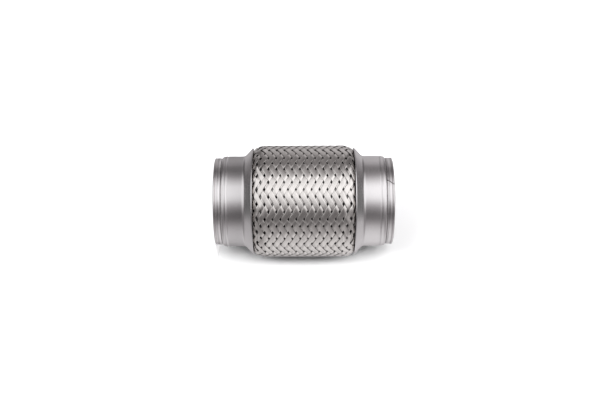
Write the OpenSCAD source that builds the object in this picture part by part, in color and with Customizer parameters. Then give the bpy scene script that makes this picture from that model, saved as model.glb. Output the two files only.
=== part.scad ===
// Exhaust flex pipe. A two-ply bellows and a strip-wound liner carry the gas inside a braided sleeve.
// At each end a flared collar and a rolled end ring clamp the layers together.
// Z runs along the pipe. The origin is the centre of the lower rim, on which the pipe stands.

/* [Pipe] */
// Length from rim to rim
pipe_l = 100; // [90:1:140]
// Inside diameter of the end rings, which is the outside diameter of the pipe that slides in
bore_d = 45; // [35:0.5:65]
// Clearance between layers that slide into each other
fit_gap = 0.1; // [0.06:0.01:0.2]

/* [End rings] */
// Wall of a ring's sleeve
ring_wall = 0.7; // [0.5:0.05:1.2]
// Length of a ring from its rim to the inner end of its sleeve
ring_l = 11; // [8:0.5:13]
// How far a ring stands out of its collar
ring_out = 4.2; // [3.6:0.1:6]
// Gap between a ring's bead and the edge of the collar
bead_gap = 0.2; // [0.1:0.05:0.8]
// How far the bead stays below the outside of the collar's neck
bead_step = 1; // [0.6:0.05:1.3]
// Radius of the bead's two edges
bead_edge_r = 0.6; // [0.2:0.05:0.65]
// Distance from the rim to the groove round the bead
groove_z = 1.1; // [1:0.05:1.9]
// Depth and half width of that groove
groove_depth = 0.3; // [0.1:0.05:0.35]
// Chamfer at the mouth of the bore
bore_chamfer = 0.25; // [0.1:0.05:0.4]
// Width of the slit where the ends of the rolled strip meet
seam_w = 0.5; // [0.2:0.05:0.8]
// Slant of that slit from the pipe's axis
seam_slant = 37; // [0:1:45]
// Place of the slit round the lower ring
lower_seam_deg = 20; // [0:1:359]
// Place of the slit round the upper ring
upper_seam_deg = 159; // [0:1:359]

/* [Collars] */
// Thickness of the collars' sheet
collar_wall = 1.2; // [0.8:0.05:1.8]
// Length of a collar from its rolled edge to its mouth
collar_l = 17.5; // [16:0.5:22]
// Depth of the rounding at the rolled edge
edge_r = 1.05; // [0.6:0.05:1.2]
// Length of that rounding along the pipe
edge_l = 2.6; // [1:0.1:3]
// Distance from the rolled edge to the crimped line round the neck
crimp_z = 3.3; // [2.5:0.1:5]
// Depth of the crimped line
crimp_depth = 0.15; // [0.05:0.05:0.4]
// Half width of the crimped line
crimp_w = 0.5; // [0.3:0.05:0.8]
// How far the flare widens from the neck to the mouth, in radius
flare_rise = 4.6; // [4:0.1:5]
// Slope of the flare from the axis
flare_deg = 47; // [40:1:55]
// Radius of the bend from the neck to the flare
neck_bend_r = 2.7; // [1.5:0.1:4]
// Radius of the flare's outer edge at the mouth
lip_r = 0.5; // [0.3:0.05:1]
// Straight length of that edge
lip_l = 0.3; // [0.2:0.05:1]

/* [Braid] */
// Strands that wind round the braid each way
strands = 24; // [16:2:26]
// Rows of crossings along the braid
braid_rows = 32; // [20:2:36]
// Turn of the weave round the pipe
braid_turn = 18.35; // [0:0.05:30]
// Height of the strands above the grooves between them
strand_h = 0.6; // [0.3:0.05:0.8]
// Width of the groove beside a strand, as a share of the strand
groove_share = 0.09; // [0.05:0.01:0.2]
// Wall below the grooves
braid_wall = 0.4; // [0.3:0.05:0.6]
// Wall of the plain ends under the collars
tail_wall = 0.3; // [0.2:0.05:0.5]
// Slope at which the braid swells out of the collar's mouth
swell_deg = 68; // [55:1:75]
// How far the swelling stays below the crown
swell_in = 0.8; // [0.4:0.05:1]
// Length over which the braid rises from the swelling to its crown
shoulder_l = 5; // [4:0.1:6]

/* [Bellows] */
// Thickness of one ply
ply_wall = 0.25; // [0.15:0.01:0.35]
// Clearance between the two plies
ply_gap = 0.05; // [0.03:0.01:0.1]
// Number of convolutions
convolutions = 9; // [7:1:11]
// Height of a convolution from root to crest
convolution_h = 5.1; // [4.4:0.1:5.8]
// How far the roots stand out from the plain ends
root_rise = 1.2; // [1:0.05:1.8]
// Distance from the collar's mouth to the first crest
crest_in = 5.5; // [5:0.1:7]
// Gap between the crests and the braid
crest_gap = 0.6; // [0.4:0.05:1]

/* [Liner] */
// Thickness of the liner's strip
strip_t = 0.45; // [0.3:0.05:0.5]
// Depth of the liner's section
liner_h = 1.9; // [1.6:0.05:2.4]
// Gap between the liner and the bellows' roots
liner_gap = 0.7; // [0.5:0.05:1]
// Number of the strip's turns
liner_turns = 10; // [8:1:12]
// Gap between the liner's ends and the end rings
liner_end_gap = 0.3; // [0.2:0.05:0.6]

/* [Hidden] */
$fn = 96;
arc_steps = 8;

collar_steel = [0.73, 0.71, 0.71];
ring_steel = [0.72, 0.70, 0.70];
braid_steel = [0.75, 0.72, 0.69];
bellows_steel = [0.55, 0.54, 0.52];
liner_steel = [0.50, 0.49, 0.48];

// Layers under a collar's neck, from the bore outwards, as radii
bore_r = bore_d / 2;
ring_r = bore_r + ring_wall;
ply_pitch = ply_wall + ply_gap;
cuff_in_r = ring_r + fit_gap;
cuff_out_r = cuff_in_r + ply_wall + ply_pitch;
half_steps = 2 * strands;
flat_ratio = cos(180 / half_steps);
tail_in_r = (cuff_out_r + fit_gap) / flat_ratio;
tail_out_r = tail_in_r + tail_wall;
neck_in_r = tail_out_r + fit_gap;
neck_r = neck_in_r + collar_wall;
bead_r = neck_r - bead_step;
mouth_r = neck_r + flare_rise;
mouth_z = ring_out + collar_l;

// Collar's flare
lip_z = mouth_z - lip_l;
cone_rise = flare_rise - (neck_bend_r + lip_r) * (1 - cos(flare_deg));
cone_l = cone_rise / tan(flare_deg);
neck_end_z = lip_z - (neck_bend_r + lip_r) * sin(flare_deg) - cone_l;
neck_bend_c = [neck_r + neck_bend_r, neck_end_z];
lip_bend_c = [mouth_r - lip_r, lip_z];
flare_run = [sin(flare_deg), cos(flare_deg)];
flare_out = [cos(flare_deg), -sin(flare_deg)];
flare_in = neck_bend_c - (neck_bend_r + collar_wall) * flare_out;
mouth_in_r = flare_in[0] + (mouth_z - flare_in[1]) * tan(flare_deg);

// Bellows' reference line, midway through the inner ply
cuff_r = cuff_in_r + ply_wall / 2;
root_r = cuff_r + root_rise;
crest_r = root_r + convolution_h;
first_crest_z = mouth_z + crest_in;
crest_pitch = (pipe_l - 2 * first_crest_z) / (convolutions - 1);
fold_r = crest_pitch / 4;
cuff_z = ring_out + fit_gap;
root_z = first_crest_z - 2 * fold_r;
cuff_end_z = root_z - 2 * root_rise;

// Braid's crown clears the bellows' crests
crown_in_r = (crest_r + ply_wall / 2 + ply_pitch + crest_gap) / flat_ratio;
crown_r = crown_in_r + braid_wall;

// Liner
liner_out_r = root_r - ply_wall / 2 - liner_gap;
liner_in_r = liner_out_r - liner_h;
liner_z = ring_l + liner_end_gap;
liner_tail_z = root_z - root_rise / 2;
liner_tail_r = cuff_in_r - 2 * fit_gap;
liner_tail_wall = 2 * strip_t;
hook_share = 0.5;
hook_pitch = (pipe_l - 2 * liner_tail_z) / (liner_turns + hook_share);
hook_w = hook_pitch * hook_share;

function arc(c, r, from, to) =
    [for (i = [0 : arc_steps]) let (a = from + (to - from) * i / arc_steps) c + r * [cos(a), sin(a)]];
function reversed(list) = [for (i = [len(list) - 1 : -1 : 0]) list[i]];
function flipped(list) = [for (p = reversed(list)) [p[0], pipe_l - p[1]]];

module turned(section) rotate_extrude() polygon(section);
module at_upper_end() translate([0, 0, pipe_l]) mirror([0, 0, 1]) children();

// Collar: rolled edge, crimped neck and flare
function collar_section() =
    let (crimp = ring_out + crimp_z)
    concat(
        [[neck_in_r, ring_out]],
        [for (p = arc([0, 0], 1, -90, 0)) [neck_r - edge_r * (1 - p[0]), ring_out + edge_l * (1 + p[1])]],
        [[neck_r, crimp - crimp_w], [neck_r - crimp_depth, crimp], [neck_r, crimp + crimp_w]],
        arc(neck_bend_c, neck_bend_r, 180, 180 - flare_deg),
        arc(lip_bend_c, lip_r, -flare_deg, 0),
        [[mouth_r, mouth_z], [mouth_in_r, mouth_z]],
        arc(neck_bend_c, neck_bend_r + collar_wall, 180 - flare_deg, 180));

module collar() color(collar_steel) turned(collar_section());
module lower_collar() collar();
module upper_collar() at_upper_end() collar();

// End ring: a strip rolled into a sleeve, with a grooved bead outside the collar
function ring_section() =
    let (edge = bead_edge_r,
         bead_top = ring_out - bead_gap)
    concat(
        [[bore_r, bore_chamfer], [bore_r + bore_chamfer, 0]],
        arc([bead_r - edge, edge], edge, -90, 0),
        [[bead_r, groove_z - groove_depth], [bead_r - groove_depth, groove_z],
         [bead_r, groove_z + groove_depth]],
        arc([bead_r - edge, bead_top - edge], edge, 0, 90),
        [[ring_r, bead_top], [ring_r, ring_l - bore_chamfer],
         [ring_r - bore_chamfer, ring_l], [bore_r, ring_l]]);

module end_ring(seam_deg, slant)
    color(ring_steel) difference() {
        turned(ring_section());
        rotate([0, 0, seam_deg]) translate([bore_r, 0, 0]) rotate([slant, 0, 0])
            cube([2 * bead_r - bore_r, seam_w, 4 * ring_l], center = true);
    }
module lower_end_ring() end_ring(lower_seam_deg, seam_slant);
module upper_end_ring() at_upper_end() end_ring(upper_seam_deg, seam_slant);

// Bellows: U-shaped folds on a line offset by o from the reference line
function fold_line(o) =
    let (crest_c = crest_r - fold_r, root_c = root_r + fold_r)
    concat(
        [[cuff_r + o, cuff_z], [cuff_r + o, cuff_end_z], [root_r + o, root_z - root_rise / 2]],
        arc([root_c, root_z], fold_r - o, 180, 90),
        [for (i = [0 : convolutions - 1]) let (z = first_crest_z + i * crest_pitch)
            each concat(
                arc([crest_c, z], fold_r + o, -90, 90),
                i < convolutions - 1
                    ? arc([root_c, z + 2 * fold_r], fold_r - o, 270, 90)
                    : [])],
        flipped(concat(
            [[cuff_r + o, cuff_z], [cuff_r + o, cuff_end_z], [root_r + o, root_z - root_rise / 2]],
            arc([root_c, root_z], fold_r - o, 180, 90))));

module ply(o) color(bellows_steel)
    turned(concat(fold_line(o - ply_wall / 2), reversed(fold_line(o + ply_wall / 2))));
module bellows_inner_ply() ply(0);
module bellows_outer_ply() ply(ply_pitch);

// Liner: the strip's hooks stand out and in by turns, between doubled plain ends
function hook_z(i) = liner_tail_z + i * hook_pitch;
function liner_outside() = concat(
    [[liner_tail_r, liner_z], [liner_tail_r, hook_z(0)]],
    [for (i = [0 : liner_turns]) each concat(
        [[liner_out_r, hook_z(i)], [liner_out_r, hook_z(i) + hook_w]],
        i < liner_turns
            ? [[liner_in_r + strip_t, hook_z(i) + hook_w], [liner_in_r + strip_t, hook_z(i + 1)]]
            : [])],
    [[liner_tail_r, hook_z(liner_turns) + hook_w], [liner_tail_r, pipe_l - liner_z]]);
function liner_inside() = concat(
    [[liner_tail_r - liner_tail_wall, liner_z], [liner_tail_r - liner_tail_wall, hook_z(0) + strip_t]],
    [for (i = [0 : liner_turns]) each concat(
        [[liner_out_r - strip_t, hook_z(i) + strip_t],
         [liner_out_r - strip_t, hook_z(i) + hook_w - strip_t]],
        i < liner_turns
            ? [[liner_in_r, hook_z(i) + hook_w - strip_t], [liner_in_r, hook_z(i + 1) + strip_t]]
            : [])],
    [[liner_tail_r - liner_tail_wall, hook_z(liner_turns) + hook_w - strip_t],
     [liner_tail_r - liner_tail_wall, pipe_l - liner_z]]);

module liner() color(liner_steel) turned(concat(liner_outside(), reversed(liner_inside())));

// Braid: strands of the two windings pass over two and under two of each other.
// Rows m run along the pipe and half steps q round it. Strands cross at cells where m + q is odd,
// and the grooves between strands meet at corners where m + q is even.
// The weave runs straight along the flare and past the mouth's edge, swells out and rises to the crown.
mouth_pass = [mouth_in_r, mouth_z] - (strand_h + fit_gap) * flare_out;
weave_start = mouth_pass + (tail_out_r + fit_gap - mouth_pass[0]) / flare_run[0] * flare_run;
bend_start = mouth_pass + strand_h * flare_run;
swell_r = crown_r - swell_in;
bend_turn = [swell_r, bend_start[1] + (swell_r - bend_start[0]) / tan(swell_deg)];
bend_end = [crown_r, bend_turn[1] + shoulder_l];
lower_line = concat([weave_start], [for (i = [0 : arc_steps]) let (t = i / arc_steps)
    (1 - t) * (1 - t) * bend_start + 2 * t * (1 - t) * bend_turn + t * t * bend_end]);
braid_line = concat(lower_line, flipped(lower_line));
function run_to(i) = i == 0 ? 0 : run_to(i - 1) + norm(braid_line[i] - braid_line[i - 1]);
braid_run = [for (i = [0 : len(braid_line) - 1]) run_to(i)];
row_step = braid_run[len(braid_run) - 1] / braid_rows;
r_by_run = [for (i = [0 : len(braid_run) - 1]) [braid_run[i], braid_line[i][0]]];
z_by_run = [for (i = [0 : len(braid_run) - 1]) [braid_run[i], braid_line[i][1]]];

function on_line(m) = [lookup(m * row_step, r_by_run), lookup(m * row_step, z_by_run)];
function outward(m) =
    let (d = on_line(min(m + 0.5, braid_rows)) - on_line(max(m - 0.5, 0))) [d[1], -d[0]] / norm(d);
function round_pipe(p, q) =
    let (a = q * 360 / half_steps + braid_turn) [p[0] * cos(a), p[0] * sin(a), p[1]];
function on_braid(m, q, h) = round_pipe(on_line(m) + h * outward(m), q);

// Corners of the grooves
corners = [for (m = [0 : braid_rows]) for (k = [0 : strands - 1]) on_braid(m, 2 * k + m % 2, 0)];
function corner(m, q) = m * strands + floor(((q + half_steps) % half_steps) / 2);

// A float is the stretch of a strand that lies on top of two others: [row, half step, lean]
first_rows = [for (k = [0 : strands / 2 - 1]) 4 * k + 1];
floats = [for (q = first_rows) each concat(
    [for (m = [2 : 2 : braid_rows - 2]) [m, q, 1]],
    [for (m = [1 : 2 : braid_rows - 3]) [m, q + 3, -1]])];
function near_side(f, k) = corner(f[0] - 1 + k, f[1] + f[2] * k);
function far_side(f, k) = corner(f[0] + k, f[1] + f[2] * (k - 1));

// Stations along a float, as shares of its length and of its height
float_end_h = 0.45;
float_top_from = 0.28;
stations = [[groove_share, float_end_h], [float_top_from, 1],
            [1 - float_top_from, 1], [1 - groove_share, float_end_h]];
function float_points(f) = [for (s = stations) each [for (w = [groove_share, 1 - groove_share])
    on_braid(f[0] - 1 + 2 * s[0] + w, f[1] + f[2] * (2 * s[0] - w), strand_h * s[1])]];
float_size = 2 * len(stations);
tops = [for (f = floats) each float_points(f)];
function top_id(i, s, w) = len(corners) + i * float_size + 2 * s + w;

function facing(faces, lean) = lean > 0 ? faces : [for (f = faces) reversed(f)];
function side_faces(g, t) = [
    [g[0], t[0], t[1]], [g[0], t[1], g[1]], [g[1], t[1], t[2]],
    [g[1], t[2], g[2]], [g[2], t[2], t[3]]];
function float_faces(i) =
    let (f = floats[i],
         near = [for (k = [0 : 2]) near_side(f, k)],
         far = [for (k = [0 : 2]) far_side(f, k)],
         a = [for (s = [0 : 3]) top_id(i, s, 0)],
         b = [for (s = [0 : 3]) top_id(i, s, 1)])
    facing(concat(
        [for (s = [0 : 2]) each [[a[s], b[s], b[s + 1]], [a[s], b[s + 1], a[s + 1]]]],
        side_faces(near, a),
        [for (face = side_faces(far, b)) reversed(face)],
        [[near[0], far[0], b[0]], [near[0], b[0], a[0]],
         [far[2], near[2], a[3]], [far[2], a[3], b[3]]]), f[2]);

// Cells at the two ends of the weave, whose strands go on under the collars
function cell_faces(m, q) = [
    [corner(m - 1, q), corner(m, q - 1), corner(m + 1, q)],
    [corner(m - 1, q), corner(m + 1, q), corner(m, q + 1)]];
end_cells = [for (q = first_rows) each concat(
    cell_faces(1, q + 1), cell_faces(braid_rows - 1, q + 3))];

// Rings of points that carry the plain ends and the inside
function ring_points(p) = [for (q = [0 : half_steps - 1]) round_pipe(p, q)];
tail_z = weave_start[1] - braid_wall;
lower_tail = [[tail_out_r, tail_z], [tail_out_r, cuff_z], [tail_in_r, cuff_z], [tail_in_r, tail_z]];
inside_line = [for (i = [0 : len(braid_line) - 1])
    let (m = braid_run[i] / row_step) on_line(m) - braid_wall * outward(m)];
loop_rings = concat(lower_tail, inside_line, flipped(lower_tail));
ring_start = len(corners) + len(tops);
function ring_id(i, q) = ring_start + i * half_steps + q % half_steps;
function lower_edge(q) = corner(q % 2, q);
function upper_edge(q) = corner(braid_rows - q % 2, q);
last_ring = len(loop_rings) - 1;
loop_faces = [for (q = [0 : half_steps - 1]) each concat(
    [[lower_edge(q), lower_edge(q + 1), ring_id(0, q + 1)], [lower_edge(q), ring_id(0, q + 1), ring_id(0, q)]],
    [for (i = [0 : last_ring - 1]) each [
        [ring_id(i, q), ring_id(i, q + 1), ring_id(i + 1, q + 1)],
        [ring_id(i, q), ring_id(i + 1, q + 1), ring_id(i + 1, q)]]],
    [[ring_id(last_ring, q), ring_id(last_ring, q + 1), upper_edge(q + 1)],
     [ring_id(last_ring, q), upper_edge(q + 1), upper_edge(q)]])];

module outer_braid() color(braid_steel) polyhedron(
    points = concat(corners, tops, [for (p = loop_rings) each ring_points(p)]),
    faces = concat([for (i = [0 : len(floats) - 1]) each float_faces(i)], end_cells, loop_faces));

lower_collar();
upper_collar();
lower_end_ring();
upper_end_ring();
outer_braid();
bellows_outer_ply();
bellows_inner_ply();
liner();
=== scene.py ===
import math
import random

import bpy
import numpy as np
from mathutils import Matrix, Vector


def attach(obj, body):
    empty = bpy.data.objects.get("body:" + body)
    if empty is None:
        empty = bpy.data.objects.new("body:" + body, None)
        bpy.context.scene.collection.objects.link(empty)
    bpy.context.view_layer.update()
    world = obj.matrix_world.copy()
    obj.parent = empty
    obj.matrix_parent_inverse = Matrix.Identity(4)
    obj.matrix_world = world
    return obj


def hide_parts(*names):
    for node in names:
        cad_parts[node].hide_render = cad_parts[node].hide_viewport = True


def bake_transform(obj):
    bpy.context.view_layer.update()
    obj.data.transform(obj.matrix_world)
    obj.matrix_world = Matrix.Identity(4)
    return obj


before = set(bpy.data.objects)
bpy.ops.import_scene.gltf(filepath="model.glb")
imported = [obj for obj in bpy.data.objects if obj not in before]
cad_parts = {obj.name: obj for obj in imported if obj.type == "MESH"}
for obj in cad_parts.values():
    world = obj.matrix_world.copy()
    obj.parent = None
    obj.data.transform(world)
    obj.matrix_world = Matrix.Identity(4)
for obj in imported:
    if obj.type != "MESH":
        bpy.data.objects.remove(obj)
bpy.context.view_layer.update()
mm = 0.001
pipeLength = 100
weldWithin = 2e-6
smoothDeg = 40


def pick(obj):
    bpy.ops.object.select_all(action="DESELECT")
    obj.select_set(True)
    bpy.context.view_layer.objects.active = obj


def arcPoints(centreR, centreZ, radius, fromDeg, toDeg, steps):
    points = []
    for i in range(steps + 1):
        a = math.radians(fromDeg + (toDeg - fromDeg) * i / steps)
        points.append((centreR + radius * math.cos(a), centreZ + radius * math.sin(a)))
    return points


def flipped(points):
    return [(r, pipeLength - z) for r, z in points]


# A profile is drawn by extruding one vertex from point to point, in millimetres of radius and height
def drawProfile(name, points, closed):
    bpy.ops.object.select_all(action="DESELECT")
    bpy.ops.mesh.primitive_plane_add(size=0.01)
    obj = bpy.context.object
    obj.name = name
    bpy.ops.object.mode_set(mode="EDIT")
    bpy.ops.mesh.select_all(action="SELECT")
    bpy.ops.mesh.merge(type="CENTER")
    path = list(points) + ([points[0]] if closed else [])
    bpy.ops.transform.translate(value=(path[0][0] * mm, 0, path[0][1] * mm))
    for (r0, z0), (r1, z1) in zip(path, path[1:]):
        bpy.ops.mesh.extrude_vertices_move(TRANSFORM_OT_translate={"value": ((r1 - r0) * mm, 0, (z1 - z0) * mm)})
    bpy.ops.mesh.select_all(action="SELECT")
    if closed:
        bpy.ops.mesh.remove_doubles(threshold=weldWithin)
    return obj


def turnProfile(name, points, sides):
    obj = drawProfile(name, points, True)
    bpy.ops.mesh.spin(steps=sides, angle=2 * math.pi, center=(0, 0, 0), axis=(0, 0, 1))
    bpy.ops.mesh.select_all(action="SELECT")
    bpy.ops.mesh.remove_doubles(threshold=weldWithin)
    bpy.ops.mesh.normals_make_consistent(inside=False)
    bpy.ops.object.mode_set(mode="OBJECT")
    pick(obj)
    bpy.ops.object.shade_smooth_by_angle(angle=math.radians(smoothDeg))
    return obj


def addNode(tree, kind, **inputs):
    node = tree.nodes.new(kind)
    for key, value in inputs.items():
        setattr(node, key, value)
    return node


steel = {"marksDetail": 3, "cloudScale": 90, "cloudDetail": 4, "darker": 0.93, "lighter": 1.05, "reliefDepth": 0.0001}


# Steel: fine marks in the direction given by the stretch of the noise, on Object coordinates
def makeSteel(name, colour, roughness, spread, stretch, bump):
    mat = bpy.data.materials.new(name)
    mat.use_nodes = True
    tree = mat.node_tree
    shader = tree.nodes["Principled BSDF"]
    shader.inputs["Metallic"].default_value = 1
    coords = addNode(tree, "ShaderNodeTexCoord")
    mapping = addNode(tree, "ShaderNodeMapping")
    mapping.inputs["Scale"].default_value = stretch
    marks = addNode(tree, "ShaderNodeTexNoise")
    marks.inputs["Scale"].default_value = 1
    marks.inputs["Detail"].default_value = steel["marksDetail"]
    cloud = addNode(tree, "ShaderNodeTexNoise")
    cloud.inputs["Scale"].default_value = steel["cloudScale"]
    cloud.inputs["Detail"].default_value = steel["cloudDetail"]
    rough = addNode(tree, "ShaderNodeMapRange")
    rough.inputs["To Min"].default_value = roughness - spread
    rough.inputs["To Max"].default_value = roughness + spread
    tint = addNode(tree, "ShaderNodeMix", data_type="RGBA")
    tint.inputs["A"].default_value = tuple(c * steel["darker"] for c in colour) + (1,)
    tint.inputs["B"].default_value = tuple(min(c * steel["lighter"], 1) for c in colour) + (1,)
    relief = addNode(tree, "ShaderNodeBump")
    relief.inputs["Strength"].default_value = bump
    relief.inputs["Distance"].default_value = steel["reliefDepth"]
    tree.links.new(coords.outputs["Object"], mapping.inputs["Vector"])
    tree.links.new(mapping.outputs["Vector"], marks.inputs["Vector"])
    tree.links.new(coords.outputs["Object"], cloud.inputs["Vector"])
    tree.links.new(marks.outputs["Fac"], rough.inputs["Value"])
    tree.links.new(cloud.outputs["Fac"], tint.inputs["Factor"])
    tree.links.new(marks.outputs["Fac"], relief.inputs["Height"])
    tree.links.new(rough.outputs["Result"], shader.inputs["Roughness"])
    tree.links.new(tint.outputs["Result"], shader.inputs["Base Color"])
    tree.links.new(relief.outputs["Normal"], shader.inputs["Normal"])
    return mat


# Painted shade: a strand's colour darkens towards its edges, standing in for the shade in the crevices between strands;
# the upper face takes the first share of the UV height
def paintStrandEdgeShade(mat, fromSide, toSide, darkest, topShare):
    tree = mat.node_tree
    shader = tree.nodes["Principled BSDF"]
    plain = shader.inputs["Base Color"].links[0].from_socket
    coords = addNode(tree, "ShaderNodeTexCoord")
    split = addNode(tree, "ShaderNodeSeparateXYZ")
    side = addNode(tree, "ShaderNodeMath", operation="MULTIPLY_ADD")
    side.inputs[1].default_value = 2 / topShare
    side.inputs[2].default_value = -1
    away = addNode(tree, "ShaderNodeMath", operation="ABSOLUTE")
    edge = addNode(tree, "ShaderNodeMapRange", interpolation_type="SMOOTHSTEP")
    edge.inputs["From Min"].default_value = fromSide
    edge.inputs["From Max"].default_value = toSide
    edge.inputs["To Min"].default_value = 1
    edge.inputs["To Max"].default_value = darkest
    shade = addNode(tree, "ShaderNodeVectorMath", operation="SCALE")
    tree.links.new(coords.outputs["UV"], split.inputs["Vector"])
    tree.links.new(split.outputs["Y"], side.inputs[0])
    tree.links.new(side.outputs["Value"], away.inputs[0])
    tree.links.new(away.outputs["Value"], edge.inputs["Value"])
    tree.links.new(plain, shade.inputs[0])
    tree.links.new(edge.outputs["Result"], shade.inputs["Scale"])
    tree.links.new(shade.outputs["Vector"], shader.inputs["Base Color"])


# The wires of a strand are rounded by a bump over the dips that the mesh has between them
def roundWires(mat, wires, depth, topShare):
    tree = mat.node_tree
    shader = tree.nodes["Principled BSDF"]
    plain = shader.inputs["Normal"].links[0].from_socket
    coords = addNode(tree, "ShaderNodeTexCoord")
    split = addNode(tree, "ShaderNodeSeparateXYZ")
    phase = addNode(tree, "ShaderNodeMath", operation="MULTIPLY")
    phase.inputs[1].default_value = math.pi * wires / topShare
    wave = addNode(tree, "ShaderNodeMath", operation="SINE")
    rods = addNode(tree, "ShaderNodeMath", operation="ABSOLUTE")
    relief = addNode(tree, "ShaderNodeBump")
    relief.inputs["Strength"].default_value = 1
    relief.inputs["Distance"].default_value = depth
    tree.links.new(coords.outputs["UV"], split.inputs["Vector"])
    tree.links.new(split.outputs["Y"], phase.inputs[0])
    tree.links.new(phase.outputs["Value"], wave.inputs[0])
    tree.links.new(wave.outputs["Value"], rods.inputs[0])
    tree.links.new(rods.outputs["Value"], relief.inputs["Height"])
    tree.links.new(plain, relief.inputs["Normal"])
    tree.links.new(relief.outputs["Normal"], shader.inputs["Normal"])


collarSteel = makeSteel("collarSteel", (0.73, 0.71, 0.71), 0.22, 0.04, (60, 60, 2600), 0.03)
ringSteel = makeSteel("ringSteel", (0.72, 0.7, 0.7), 0.15, 0.05, (60, 60, 2600), 0.03)
braidSteel = makeSteel("braidSteel", (0.78, 0.75, 0.72), 0.16, 0.04, (900, 900, 900), 0.03)
bellowsSteel = makeSteel("bellowsSteel", (0.55, 0.54, 0.52), 0.4, 0.08, (60, 60, 1500), 0.08)
linerSteel = makeSteel("linerSteel", (0.5, 0.48, 0.46), 0.34, 0.08, (60, 60, 1500), 0.1)


def setUp(obj, mat):
    obj.data.materials.clear()
    obj.data.materials.append(mat)


# Collars
collar = {
    "neckR": 25.6, "wall": 1.2, "startZ": 4.2, "edgeR": 1.05, "edgeL": 2.6, "crimpZ": 7.5, "crimpDepth": 0.14,
    "crimpHalf": 0.5, "neckBendR": 2.7, "flareDeg": 47, "mouthR": 30.2, "mouthZ": 21.7, "mouthInR": 28.997,
    "mouthEdge": 0.15, "lipR": 0.5, "lipL": 0.3, "sides": 192, "steps": 12, "crimpSteps": 4,
    "lipSteps": 6, "mouthSteps": 4,
}
collarSin = math.sin(math.radians(collar["flareDeg"]))
collarCos = math.cos(math.radians(collar["flareDeg"]))
coneRise = collar["mouthR"] - collar["neckR"] - (collar["neckBendR"] + collar["lipR"]) * (1 - collarCos)
lipZ = collar["mouthZ"] - collar["lipL"]
neckEndZ = lipZ - (collar["neckBendR"] + collar["lipR"]) * collarSin - coneRise * collarCos / collarSin


def collarProfile():
    c = collar
    bendC = (c["neckR"] + c["neckBendR"], neckEndZ)
    mouthEdge = c["mouthEdge"]
    edge = [
        (c["neckR"] - c["edgeR"] * (1 - p), c["startZ"] + c["edgeL"] * (1 + q))
        for p, q in arcPoints(0, 0, 1, -90, 0, c["steps"])
    ]
    crimp = []
    for i in range(-c["crimpSteps"], c["crimpSteps"] + 1):
        dip = c["crimpDepth"] * (0.5 + 0.5 * math.cos(math.pi * i / c["crimpSteps"]))
        crimp.append((c["neckR"] - dip, c["crimpZ"] + c["crimpHalf"] * i / c["crimpSteps"]))
    return (
        [(c["neckR"] - c["wall"], c["startZ"])]
        + edge
        + crimp
        + arcPoints(*bendC, c["neckBendR"], 180, 180 - c["flareDeg"], c["steps"])
        + arcPoints(c["mouthR"] - c["lipR"], lipZ, c["lipR"], -c["flareDeg"], 0, c["lipSteps"])
        + arcPoints(c["mouthR"] - mouthEdge, c["mouthZ"] - mouthEdge, mouthEdge, 0, 90, c["mouthSteps"])
        + [(c["mouthInR"], c["mouthZ"])]
        + arcPoints(*bendC, c["neckBendR"] + c["wall"], 180 - c["flareDeg"], 180, c["steps"])
    )


lowerCollar = turnProfile("lowerCollar", collarProfile(), collar["sides"])
upperCollar = turnProfile("upperCollar", flipped(collarProfile()), collar["sides"])
for obj, body, node in ((lowerCollar, "lower_end", "lower_collar"), (upperCollar, "upper_end", "upper_collar")):
    setUp(obj, collarSteel)
    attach(obj, body)
    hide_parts(node)
print("collars turned")

# End rings: rolled strip with a grooved bead, and a slanted slit where its ends meet
ring = {
    "boreR": 22.5, "sleeveR": 23.2, "length": 11, "beadR": 24.6, "beadTop": 4.0, "edgeR": 0.6, "grooveZ": 1.1,
    "grooveDepth": 0.3, "crown": 0.16, "chamfer": 0.25, "slitW": 0.5, "slitSlant": 37, "lowerSlitDeg": 20,
    "upperSlitDeg": 159, "slitDepth": 8, "backR": 0.3, "sides": 192, "grooveSteps": 3, "bellySteps": 11, "edgeSteps": 6,
    "backSteps": 4,
}


def ringProfile():
    g = ring
    groove = []
    for i in range(-g["grooveSteps"], g["grooveSteps"] + 1):
        dip = g["grooveDepth"] * (0.5 + 0.5 * math.cos(math.pi * i / g["grooveSteps"]))
        groove.append((g["beadR"] - dip, g["grooveZ"] + g["grooveDepth"] * i / g["grooveSteps"]))
    belly = []
    fromZ = g["grooveZ"] + g["grooveDepth"]
    toZ = g["beadTop"] - g["backR"]
    for i in range(1, g["bellySteps"]):
        a = math.pi * i / g["bellySteps"]
        belly.append((g["beadR"] - g["crown"] * (1 - math.sin(a)), fromZ + (toZ - fromZ) * i / g["bellySteps"]))
    return (
        [(g["boreR"], g["chamfer"]), (g["boreR"] + g["chamfer"], 0)]
        + arcPoints(g["beadR"] - g["edgeR"], g["edgeR"], g["edgeR"], -90, 0, g["edgeSteps"])
        + groove
        + belly
        + arcPoints(g["beadR"] - g["crown"] - g["backR"], toZ, g["backR"], 0, 90, g["backSteps"])
        + [(g["sleeveR"], g["beadTop"]), (g["sleeveR"], g["length"] - g["chamfer"]),
           (g["sleeveR"] - g["chamfer"], g["length"]), (g["boreR"], g["length"])]
    )


def cutSlit(obj, atDeg, slantDeg, middleZ):
    bpy.ops.object.select_all(action="DESELECT")
    bpy.ops.mesh.primitive_cube_add(size=1)
    cutter = bpy.context.object
    place = (
        Matrix.Translation((0, 0, middleZ * mm))
        @ Matrix.Rotation(math.radians(atDeg), 4, "Z")
        @ Matrix.Translation((ring["sleeveR"] * mm, 0, 0))
        @ Matrix.Rotation(math.radians(slantDeg), 4, "X")
        @ Matrix.Diagonal((ring["slitDepth"] * mm, ring["slitW"] * mm, 4 * ring["length"] * mm, 1))
    )
    cutter.data.transform(place)
    pick(obj)
    cut = obj.modifiers.new("slit", "BOOLEAN")
    cut.operation = "DIFFERENCE"
    cut.object = cutter
    bpy.ops.object.modifier_apply(modifier=cut.name)
    bpy.data.objects.remove(cutter)
    bpy.ops.object.shade_smooth_by_angle(angle=math.radians(smoothDeg))


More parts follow.
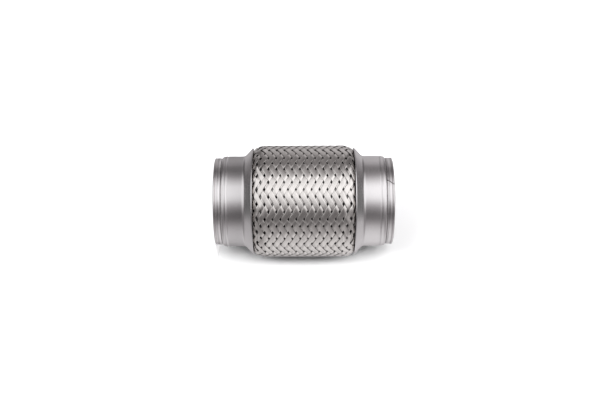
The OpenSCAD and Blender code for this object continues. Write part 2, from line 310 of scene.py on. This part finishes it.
lowerRing = turnProfile("lowerEndRing", ringProfile(), ring["sides"])
cutSlit(lowerRing, ring["lowerSlitDeg"], ring["slitSlant"], 0)
upperRing = turnProfile("upperEndRing", flipped(ringProfile()), ring["sides"])
cutSlit(upperRing, ring["upperSlitDeg"], -ring["slitSlant"], pipeLength)
for obj, body, node in ((lowerRing, "lower_end", "lower_end_ring"), (upperRing, "upper_end", "upper_end_ring")):
    setUp(obj, ringSteel)
    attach(obj, body)
    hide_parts(node)
print("end rings turned and slit")

# Braid: each strand is a ribbon of wires that passes over two and under two strands of the other winding
braid = {
    "rows": 32, "strands": 24, "turnDeg": 18.35, "start": (24.401, 18.372), "bendStart": (28.958, 22.621),
    "bendTurn": (30.416, 23.21), "bendEnd": (31.216, 28.21), "high": 0.6, "low": 0.06, "turnOver": 0.29,
    "flatten": 0.28, "fill": 0.92, "uneven": 0.03, "pinch": 0.12, "dome": 0.1, "edgeDrop": 0.35,
    "wires": 9, "wireDip": 0.03, "wireRelief": 0.012, "darkFrom": 0.8, "darkTo": 0.98, "darkest": 0.22,
    "underDrop": 0.25, "underHalf": 0.86, "underColumns": 2, "perRow": 5, "bendSteps": 16, "slopeStep": 0.4,
    "waves": (0.06, 0.13, 0.29), "rollFaster": 1.7, "sway": 0.015, "looseSway": 0.05, "roll": 0.03,
    "looseRoll": 0.42, "looseLower": 0.5, "looseUpper": 0.35, "looseLeast": 0.6, "looseVaries": 0.8,
    "mouthRow": 2.7, "mouthFull": 3.7, "mouthFade": 4, "liftShare": 0.15, "weldWithin": 1e-6,
}
topColumns = 2 * braid["wires"]
ringColumns = topColumns + braid["underColumns"] + 1
topShare = topColumns / ringColumns
# painted shade: the braid's colour is darkened along each strand's edges, where the crevices between strands lie in
# shade
paintStrandEdgeShade(braidSteel, braid["darkFrom"], braid["darkTo"], braid["darkest"], topShare)
roundWires(braidSteel, braid["wires"], braid["wireRelief"] * mm, topShare)
braidLine = [braid["start"]]
for i in range(braid["bendSteps"] + 1):
    t = i / braid["bendSteps"]
    braidLine.append(tuple(
        (1 - t) ** 2 * a + 2 * t * (1 - t) * b + t * t * c
        for a, b, c in zip(braid["bendStart"], braid["bendTurn"], braid["bendEnd"])
    ))
braidLine = np.array(braidLine + flipped(braidLine)[::-1])
braidRun = np.concatenate([[0], np.cumsum(np.hypot(*np.diff(braidLine, axis=0).T))])


def onBraid(m, q, height):
    run = np.clip(m, 0, braid["rows"]) * braidRun[-1] / braid["rows"]
    step = braid["slopeStep"]
    r = np.interp(run, braidRun, braidLine[:, 0])
    z = np.interp(run, braidRun, braidLine[:, 1])
    dr = np.interp(run + step, braidRun, braidLine[:, 0]) - np.interp(run - step, braidRun, braidLine[:, 0])
    dz = np.interp(run + step, braidRun, braidLine[:, 1]) - np.interp(run - step, braidRun, braidLine[:, 1])
    size = np.hypot(dr, dz)
    r = r + height * dz / size
    z = z - height * dr / size
    a = np.radians(q * 180 / braid["strands"] + braid["turnDeg"])
    return np.stack([r * np.cos(a), r * np.sin(a), z], axis=-1) * mm


# A strand is a grid bent into a closed ribbon: columns of wires on top and two columns below
def weaveStrand(number, lean, rng):
    b = braid
    along = b["rows"] * b["perRow"]
    bpy.ops.object.select_all(action="DESELECT")
    bpy.ops.mesh.primitive_grid_add(x_subdivisions=along, y_subdivisions=ringColumns, size=1)
    strand = bpy.context.object
    flat = np.empty(len(strand.data.vertices) * 3)
    strand.data.vertices.foreach_get("co", flat)
    flat = flat.reshape(-1, 3)
    u = (flat[:, 0] + 0.5) * b["rows"]
    column = np.rint((flat[:, 1] + 0.5) * ringColumns).astype(int) % ringColumns
    under = column > topColumns
    underSide = np.where(column == topColumns + 1, 1, -1) * b["underHalf"]
    side = np.where(under, underSide, column / topColumns * 2 - 1)
    nearEnd = np.clip(np.abs(u - b["rows"] / 2) / (b["rows"] / 2), 0, 1) ** 4
    sway = np.zeros_like(u)
    roll = np.zeros_like(u)
    for turns in b["waves"]:
        sway += np.sin(2 * math.pi * (turns * u + rng.random())) / 2
        roll += np.sin(2 * math.pi * (turns * u * b["rollFaster"] + rng.random())) / 2
    looseness = b["looseLeast"] + b["looseVaries"] * rng.random()
    loose = nearEnd * np.where(u < b["rows"] / 2, b["looseLower"], b["looseUpper"]) * looseness
    atCorner = 0.5 - 0.5 * np.cos(2 * math.pi * u)
    ownFill = b["fill"] * (1 + b["uneven"] * (rng.random() - 0.5))
    width = ownFill - (b["pinch"] + loose / 2) * atCorner - loose / 2
    v = side * width / 2 + sway * (b["sway"] + b["looseSway"] * nearEnd)
    first = 2 * number + 1
    centreQ = first + lean * u
    peak = 1.5 if lean > 0 else 3.5
    fromPeak = np.abs((centreQ - peak + 2) % 4 - 2)
    over = np.clip((1 + b["turnOver"] - fromPeak) / (2 * b["turnOver"]), 0, 1)
    over = over * over * (3 - 2 * over)
    height = b["low"] + (b["high"] - b["low"]) * over
    height = height - b["flatten"] * (1 - np.minimum(fromPeak, 1) ** 2)
    height = height - b["dome"] * side**4 + b["roll"] * roll * side
    fromEnd = np.minimum(u, b["rows"] - u)
    pastMouth = np.maximum(fromEnd - b["mouthFull"], 0)
    atMouth = np.clip(fromEnd - b["mouthRow"], 0, 1) * np.exp(-(pastMouth**2) / b["mouthFade"])
    lift = b["looseRoll"] * atMouth * over * roll
    height = height + lift * side + b["liftShare"] * np.abs(lift)
    height = height - np.where(column % 2 == 0, b["wireDip"], 0)
    height = height - np.where((column == 0) | (column == topColumns), b["edgeDrop"], 0)
    height = height - np.where(under, b["underDrop"], 0)
    points = onBraid(u + v, first + lean * (u - v), height)
    strand.data.vertices.foreach_set("co", points.ravel())
    strand.data.update()
    return strand


def weaveWinding(name, lean, seed):
    rng = random.Random(seed)
    strands = [weaveStrand(number, lean, rng) for number in range(braid["strands"])]
    bpy.ops.object.select_all(action="DESELECT")
    for strand in strands:
        strand.select_set(True)
    bpy.context.view_layer.objects.active = strands[0]
    bpy.ops.object.join()
    winding = bpy.context.object
    winding.name = name
    bpy.ops.object.mode_set(mode="EDIT")
    bpy.ops.mesh.select_all(action="SELECT")
    bpy.ops.mesh.remove_doubles(threshold=braid["weldWithin"])
    bpy.ops.mesh.fill_holes(sides=0)
    bpy.ops.mesh.select_all(action="SELECT")
    bpy.ops.mesh.normals_make_consistent(inside=False)
    bpy.ops.object.mode_set(mode="OBJECT")
    bpy.ops.object.shade_smooth()
    setUp(winding, braidSteel)
    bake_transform(winding)
    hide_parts("outer_braid")
    return winding


weaveWinding("braidRightStrands", 1, 11)
weaveWinding("braidLeftStrands", -1, 23)
print("braid woven")

# Bellows: one folded sheet as thick as the two plies
bellows = {
    "cuffR": 23.3, "cuffZ": 4.3, "cuffEnd": 1, "rootR": 24.5, "crestR": 30.15, "folds": 9, "firstCrestZ": 27.2,
    "wall": 0.55, "sides": 96, "steps": 6,
}


def bellowsLine(offset):
    b = bellows
    pitch = (pipeLength - 2 * b["firstCrestZ"]) / (b["folds"] - 1)
    foldR = pitch / 4
    cuffR = b["cuffR"] + b["wall"] / 2 + offset
    rootC = b["rootR"] + b["wall"] / 2 + foldR
    crestC = b["crestR"] - b["wall"] / 2 - foldR
    points = [(cuffR, b["cuffZ"]), (cuffR, b["firstCrestZ"] - pitch - b["cuffEnd"])]
    for i in range(b["folds"]):
        z = b["firstCrestZ"] + i * pitch
        points += arcPoints(rootC, z - 2 * foldR, foldR - offset, 180 if i == 0 else 270, 90, b["steps"])
        points += arcPoints(crestC, z, foldR + offset, -90, 90, b["steps"])
    points += arcPoints(rootC, z + 2 * foldR, foldR - offset, 270, 180, b["steps"])
    return points + flipped(points[:2])[::-1]


def bellowsProfile():
    half = bellows["wall"] / 2
    return bellowsLine(half) + bellowsLine(-half)[::-1]


bellowsPiece = turnProfile("bellows", bellowsProfile(), bellows["sides"])
setUp(bellowsPiece, bellowsSteel)
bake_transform(bellowsPiece)
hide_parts("bellows_outer_ply", "bellows_inner_ply")
print("bellows turned")

# Liner: hooked strip wound in a helix between two plain tails
liner = {
    "inR": 21.9, "outR": 23.75, "strip": 0.45, "bendR": 0.3, "bendSteps": 3, "hookFrom": 0.35, "hooksFrom": 23.75,
    "tailInR": 22.2, "tailOutR": 23.1, "tailFrom": 11.3, "tailPast": 0.4, "stepAt": 0.3, "slopeAt": 0.6,
    "turns": 10, "steps": 96,
}


def linerPitchProfile(pitch):
    g = liner
    bend = g["bendR"]
    steps = g["bendSteps"]
    half = pitch / 2
    return (
        [(g["inR"], g["hookFrom"])]
        + arcPoints(g["inR"] + bend, half - bend, bend, 180, 90, steps)
        + arcPoints(g["outR"] - g["strip"] - bend, half + bend, bend, -90, 0, steps)
        + arcPoints(g["outR"] - g["strip"] - bend, pitch - bend, bend, 0, 90, steps)
        + arcPoints(g["inR"] + bend, pitch + bend, bend, 270, 180, steps)
        + [(g["inR"], pitch + g["hookFrom"])]
    )


linerPitch = (pipeLength - 2 * liner["hooksFrom"]) / liner["turns"]
linerPiece = drawProfile("linerHose", linerPitchProfile(linerPitch), False)
bpy.ops.object.mode_set(mode="OBJECT")
linerPiece.data.transform(Matrix.Translation((0, 0, (liner["hooksFrom"] - linerPitch) * mm)))
pick(linerPiece)
wind = linerPiece.modifiers.new("wind", "SCREW")
wind.axis = "Z"
wind.angle = 2 * math.pi
wind.steps = liner["steps"]
wind.render_steps = liner["steps"]
wind.iterations = liner["turns"] + 1
wind.screw_offset = linerPitch * mm
wind.use_merge_vertices = True
wind.merge_threshold = weldWithin
bpy.ops.object.modifier_apply(modifier=wind.name)
bpy.ops.object.mode_set(mode="EDIT")
bpy.ops.mesh.select_all(action="SELECT")
bpy.ops.mesh.remove_doubles(threshold=weldWithin)
for height, below in ((liner["hooksFrom"], True), (pipeLength - liner["hooksFrom"], False)):
    bpy.ops.mesh.select_all(action="SELECT")
    bpy.ops.mesh.bisect(plane_co=(0, 0, height * mm), plane_no=(0, 0, 1), clear_inner=below, clear_outer=not below)
bpy.ops.mesh.select_all(action="SELECT")
bpy.ops.mesh.normals_make_consistent(inside=True)
bpy.ops.object.mode_set(mode="OBJECT")
thicken = linerPiece.modifiers.new("thicken", "SOLIDIFY")
thicken.thickness = liner["strip"] * mm
thicken.offset = 1
bpy.ops.object.modifier_apply(modifier=thicken.name)
bpy.ops.object.shade_smooth_by_angle(angle=math.radians(smoothDeg))
tailSection = [
    (liner["tailInR"], liner["tailFrom"]), (liner["tailOutR"], liner["tailFrom"]),
    (liner["tailOutR"], liner["hooksFrom"] + liner["tailPast"]), (liner["inR"], liner["hooksFrom"] + liner["tailPast"]),
    (liner["inR"], liner["hooksFrom"] - liner["stepAt"]), (liner["tailInR"], liner["hooksFrom"] - liner["slopeAt"]),
]
linerTails = [
    turnProfile("linerLowerTail", tailSection, liner["steps"]),
    turnProfile("linerUpperTail", flipped(tailSection), liner["steps"]),
]
bpy.ops.object.select_all(action="DESELECT")
for obj in linerTails + [linerPiece]:
    obj.select_set(True)
bpy.context.view_layer.objects.active = linerPiece
bpy.ops.object.join()
setUp(linerPiece, linerSteel)
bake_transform(linerPiece)
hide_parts("liner")
print("liner wound")

# Stage: a pale floor under the standing pipe, dark inside it, and a pale card beside it as the table of the main view.
# A fan of suns along the pipe lights the paper alone
stage = {
    "floorR": 0.3, "floorSides": 96, "innerR": 0.023, "innerSides": 48, "innerZ": 0.05, "cardDistance": 0.0335,
    "cardSize": 3, "tableDeg": 40, "floorGlow": 0.58, "cardGlow": 0.02, "albedo": 0.8,
    "sunDeg": 55.8, "sunRises": (-1.0, -0.45, 0.05, 0.55, 1.1), "sunSpread": 17, "sunPower": 0.99,
}
tableNormal = Vector((-math.sin(math.radians(stage["tableDeg"])), math.cos(math.radians(stage["tableDeg"])), 0))


def makePaper(name, strength):
    mat = bpy.data.materials.new(name)
    mat.use_nodes = True
    tree = mat.node_tree
    tree.nodes.remove(tree.nodes["Principled BSDF"])
    out = tree.nodes["Material Output"]
    diffuse = addNode(tree, "ShaderNodeBsdfDiffuse")
    diffuse.inputs["Color"].default_value = (stage["albedo"],) * 3 + (1,)
    glow = addNode(tree, "ShaderNodeEmission")
    glow.inputs["Strength"].default_value = strength
    both = addNode(tree, "ShaderNodeAddShader")
    clear = addNode(tree, "ShaderNodeBsdfTransparent")
    oneSided = addNode(tree, "ShaderNodeMixShader")
    geometry = addNode(tree, "ShaderNodeNewGeometry")
    tree.links.new(diffuse.outputs[0], both.inputs[0])
    tree.links.new(glow.outputs[0], both.inputs[1])
    tree.links.new(geometry.outputs["Backfacing"], oneSided.inputs[0])
    tree.links.new(both.outputs[0], oneSided.inputs[1])
    tree.links.new(clear.outputs[0], oneSided.inputs[2])
    tree.links.new(oneSided.outputs[0], out.inputs["Surface"])
    return mat


bpy.ops.object.select_all(action="DESELECT")
bpy.ops.mesh.primitive_circle_add(vertices=stage["floorSides"], radius=stage["floorR"], fill_type="NGON")
floor = bpy.context.object
floor.name = "floor"
bpy.ops.object.select_all(action="DESELECT")
bpy.ops.mesh.primitive_circle_add(vertices=stage["innerSides"], radius=stage["innerR"], fill_type="NGON")
inner = bpy.context.object
inner.name = "floorInThePipe"
inner.data.transform(Matrix.Translation((0, 0, stage["innerZ"] * mm)))
bpy.ops.object.select_all(action="DESELECT")
bpy.ops.mesh.primitive_plane_add(size=stage["cardSize"])
card = bpy.context.object
card.name = "card"
toCard = tableNormal.to_track_quat("Z", "Y").to_matrix().to_4x4()
card.data.transform(Matrix.Translation(-tableNormal * stage["cardDistance"]) @ toCard)
floor.data.materials.append(makePaper("floorPaper", stage["floorGlow"]))
inner.data.materials.append(makePaper("innerPaper", 0))
card.data.materials.append(makePaper("cardPaper", stage["cardGlow"]))
for obj in (floor, inner, card):
    obj.visible_diffuse = False
    obj.visible_glossy = False
    obj.visible_transmission = False
    obj.visible_shadow = False
tableAlong = Vector((tableNormal.y, -tableNormal.x, 0))
sunDeg = math.radians(stage["sunDeg"])
for number, rise in enumerate(stage["sunRises"], 1):
    bpy.ops.object.select_all(action="DESELECT")
    bpy.ops.object.light_add(type="SUN")
    sun = bpy.context.object
    sun.name = f"paperLight{number}"
    toSun = tableNormal * math.sin(sunDeg) - tableAlong * math.cos(sunDeg) + Vector((0, 0, rise))
    sun.rotation_euler = toSun.to_track_quat("Z", "Y").to_euler()
    sun.data.energy = stage["sunPower"]
    sun.data.angle = math.radians(stage["sunSpread"])
    sun.visible_glossy = False

# Light: a studio that changes round the pipe's axis, with a long soft box above the camera and a white table below
light = {
    "side": [
        (-180, 0.45), (-150, 0.55), (-128, 0.76), (-104, 0.79), (-86, 0.74), (-70, 0.58), (-58, 0.36), (-47, 0.2),
        (-34, 0.15), (-24, 0.21), (-14, 0.35), (-6, 0.61), (2, 0.92), (10, 1.1), (20, 1.2), (36, 1.18), (48, 0.87),
        (58, 0.55), (70, 0.28), (84, 0.2), (96, 0.24), (110, 0.42), (125, 0.52), (180, 0.45),
    ],
    "ends": [
        (-180, 0.4), (-150, 0.66), (-120, 0.6), (-90, 0.4), (-60, 0.27), (-40, 0.22), (-25, 0.45), (-10, 0.85),
        (5, 1.15), (50, 1.2), (64, 0.9), (78, 0.4), (90, 0.13), (128, 0.18), (142, 0.36), (153, 0.56),
        (165, 0.58), (180, 0.4),
    ],
    "along": [
        (-1, 0.85), (-0.5, 0.9), (-0.25, 0.98), (-0.08, 0.64), (0, 1.0), (0.08, 1.12), (0.5, 1.1), (1, 1.06),
    ],
    "endsFrom": 0.15, "endsTo": 0.5, "endsMiddle": 0.17, "middleFrom": 0.88, "middleTo": 1.0,
    "brightTint": (0.995, 0.99, 1.008), "darkTint": (1.0, 0.94, 0.965),
}


def addRamp(tree, stops, low, high, tinted):
    ramp = addNode(tree, "ShaderNodeValToRGB")
    ramp.color_ramp.interpolation = "EASE"
    elements = ramp.color_ramp.elements
    while len(elements) < len(stops):
        elements.new(0.5)
    for element, (place, value) in zip(elements, stops):
        element.position = (place - low) / (high - low)
    for element, (place, value) in zip(elements, stops):
        share = min(value, 1) if tinted else 1
        tint = [d + (b - d) * share for d, b in zip(light["darkTint"], light["brightTint"])] if tinted else (1, 1, 1)
        element.color = tuple(value * c for c in tint) + (1,)
    return ramp


world = bpy.data.worlds.new("studio")
bpy.context.scene.world = world
world.use_nodes = True
tree = world.node_tree
background = tree.nodes["Background"]
coords = addNode(tree, "ShaderNodeTexCoord")
split = addNode(tree, "ShaderNodeSeparateXYZ")
flip = addNode(tree, "ShaderNodeMath", operation="MULTIPLY")
flip.inputs[1].default_value = -1
turn = addNode(tree, "ShaderNodeMath", operation="ARCTAN2")
share = addNode(tree, "ShaderNodeMapRange")
share.inputs["From Min"].default_value = -math.pi
share.inputs["From Max"].default_value = math.pi
slope = addNode(tree, "ShaderNodeMath", operation="ABSOLUTE")
toEnds = addNode(tree, "ShaderNodeMapRange", interpolation_type="SMOOTHSTEP")
toEnds.inputs["From Min"].default_value = light["endsFrom"]
toEnds.inputs["From Max"].default_value = light["endsTo"]
sideRamp = addRamp(tree, light["side"], -180, 180, True)
endsRamp = addRamp(tree, light["ends"], -180, 180, True)
alongRamp = addRamp(tree, light["along"], -1, 1, False)
studio = addNode(tree, "ShaderNodeMix", data_type="RGBA")
toMiddle = addNode(tree, "ShaderNodeMapRange", interpolation_type="SMOOTHSTEP")
toMiddle.inputs["From Min"].default_value = light["middleFrom"]
toMiddle.inputs["From Max"].default_value = light["middleTo"]
middle = addNode(tree, "ShaderNodeMix", data_type="RGBA")
middle.inputs["B"].default_value = (light["endsMiddle"],) * 3 + (1,)
level = addNode(tree, "ShaderNodeMapRange")
level.inputs["From Min"].default_value = -1
level.inputs["From Max"].default_value = 1
levelled = addNode(tree, "ShaderNodeVectorMath", operation="MULTIPLY")
white = addNode(tree, "ShaderNodeMix", data_type="RGBA")
white.inputs["B"].default_value = (1, 1, 1, 1)
ray = addNode(tree, "ShaderNodeLightPath")
tree.links.new(coords.outputs["Generated"], split.inputs[0])
tree.links.new(split.outputs["X"], flip.inputs[0])
tree.links.new(split.outputs["Y"], turn.inputs[0])
tree.links.new(flip.outputs[0], turn.inputs[1])
tree.links.new(turn.outputs[0], share.inputs["Value"])
tree.links.new(split.outputs["Z"], slope.inputs[0])
tree.links.new(slope.outputs[0], toEnds.inputs["Value"])
tree.links.new(share.outputs["Result"], sideRamp.inputs["Fac"])
tree.links.new(share.outputs["Result"], endsRamp.inputs["Fac"])
tree.links.new(toEnds.outputs["Result"], studio.inputs["Factor"])
tree.links.new(sideRamp.outputs["Color"], studio.inputs["A"])
tree.links.new(endsRamp.outputs["Color"], middle.inputs["A"])
tree.links.new(slope.outputs[0], toMiddle.inputs["Value"])
tree.links.new(toMiddle.outputs["Result"], middle.inputs["Factor"])
tree.links.new(middle.outputs["Result"], studio.inputs["B"])
tree.links.new(split.outputs["Z"], level.inputs["Value"])
tree.links.new(studio.outputs["Result"], levelled.inputs[0])
tree.links.new(level.outputs["Result"], alongRamp.inputs["Fac"])
tree.links.new(alongRamp.outputs["Color"], levelled.inputs[1])
tree.links.new(ray.outputs["Is Camera Ray"], white.inputs["Factor"])
tree.links.new(levelled.outputs[0], white.inputs["A"])
tree.links.new(white.outputs["Result"], background.inputs["Color"])
print("stage and light set")

# Camera: beside the pipe, rolled so that the pipe lies along the picture
view = {
    "distance": 0.585, "lens": 61.5, "alongZ": 0.0479, "up": 0.0006, "tiltDeg": 0.27, "sensor": 36, "clipFrom": 0.01,
}
camera = bpy.data.objects.new("camera", bpy.data.cameras.new("camera"))
bpy.context.scene.collection.objects.link(camera)
camera.data.lens = view["lens"]
camera.data.sensor_width = view["sensor"]
camera.data.clip_start = view["clipFrom"]
axes = Matrix(((0, 0, -1), (0, 1, 0), (1, 0, 0))).to_4x4()
camera.matrix_world = (
    Matrix.Translation((-view["distance"], view["up"], view["alongZ"]))
    @ axes
    @ Matrix.Rotation(math.radians(-view["tiltDeg"]), 4, "Z")
)
scene = bpy.context.scene
scene.camera = camera
scene.render.resolution_x = 600
scene.render.resolution_y = 400
scene.view_settings.view_transform = "Standard"
scene.cycles.caustics_reflective = False
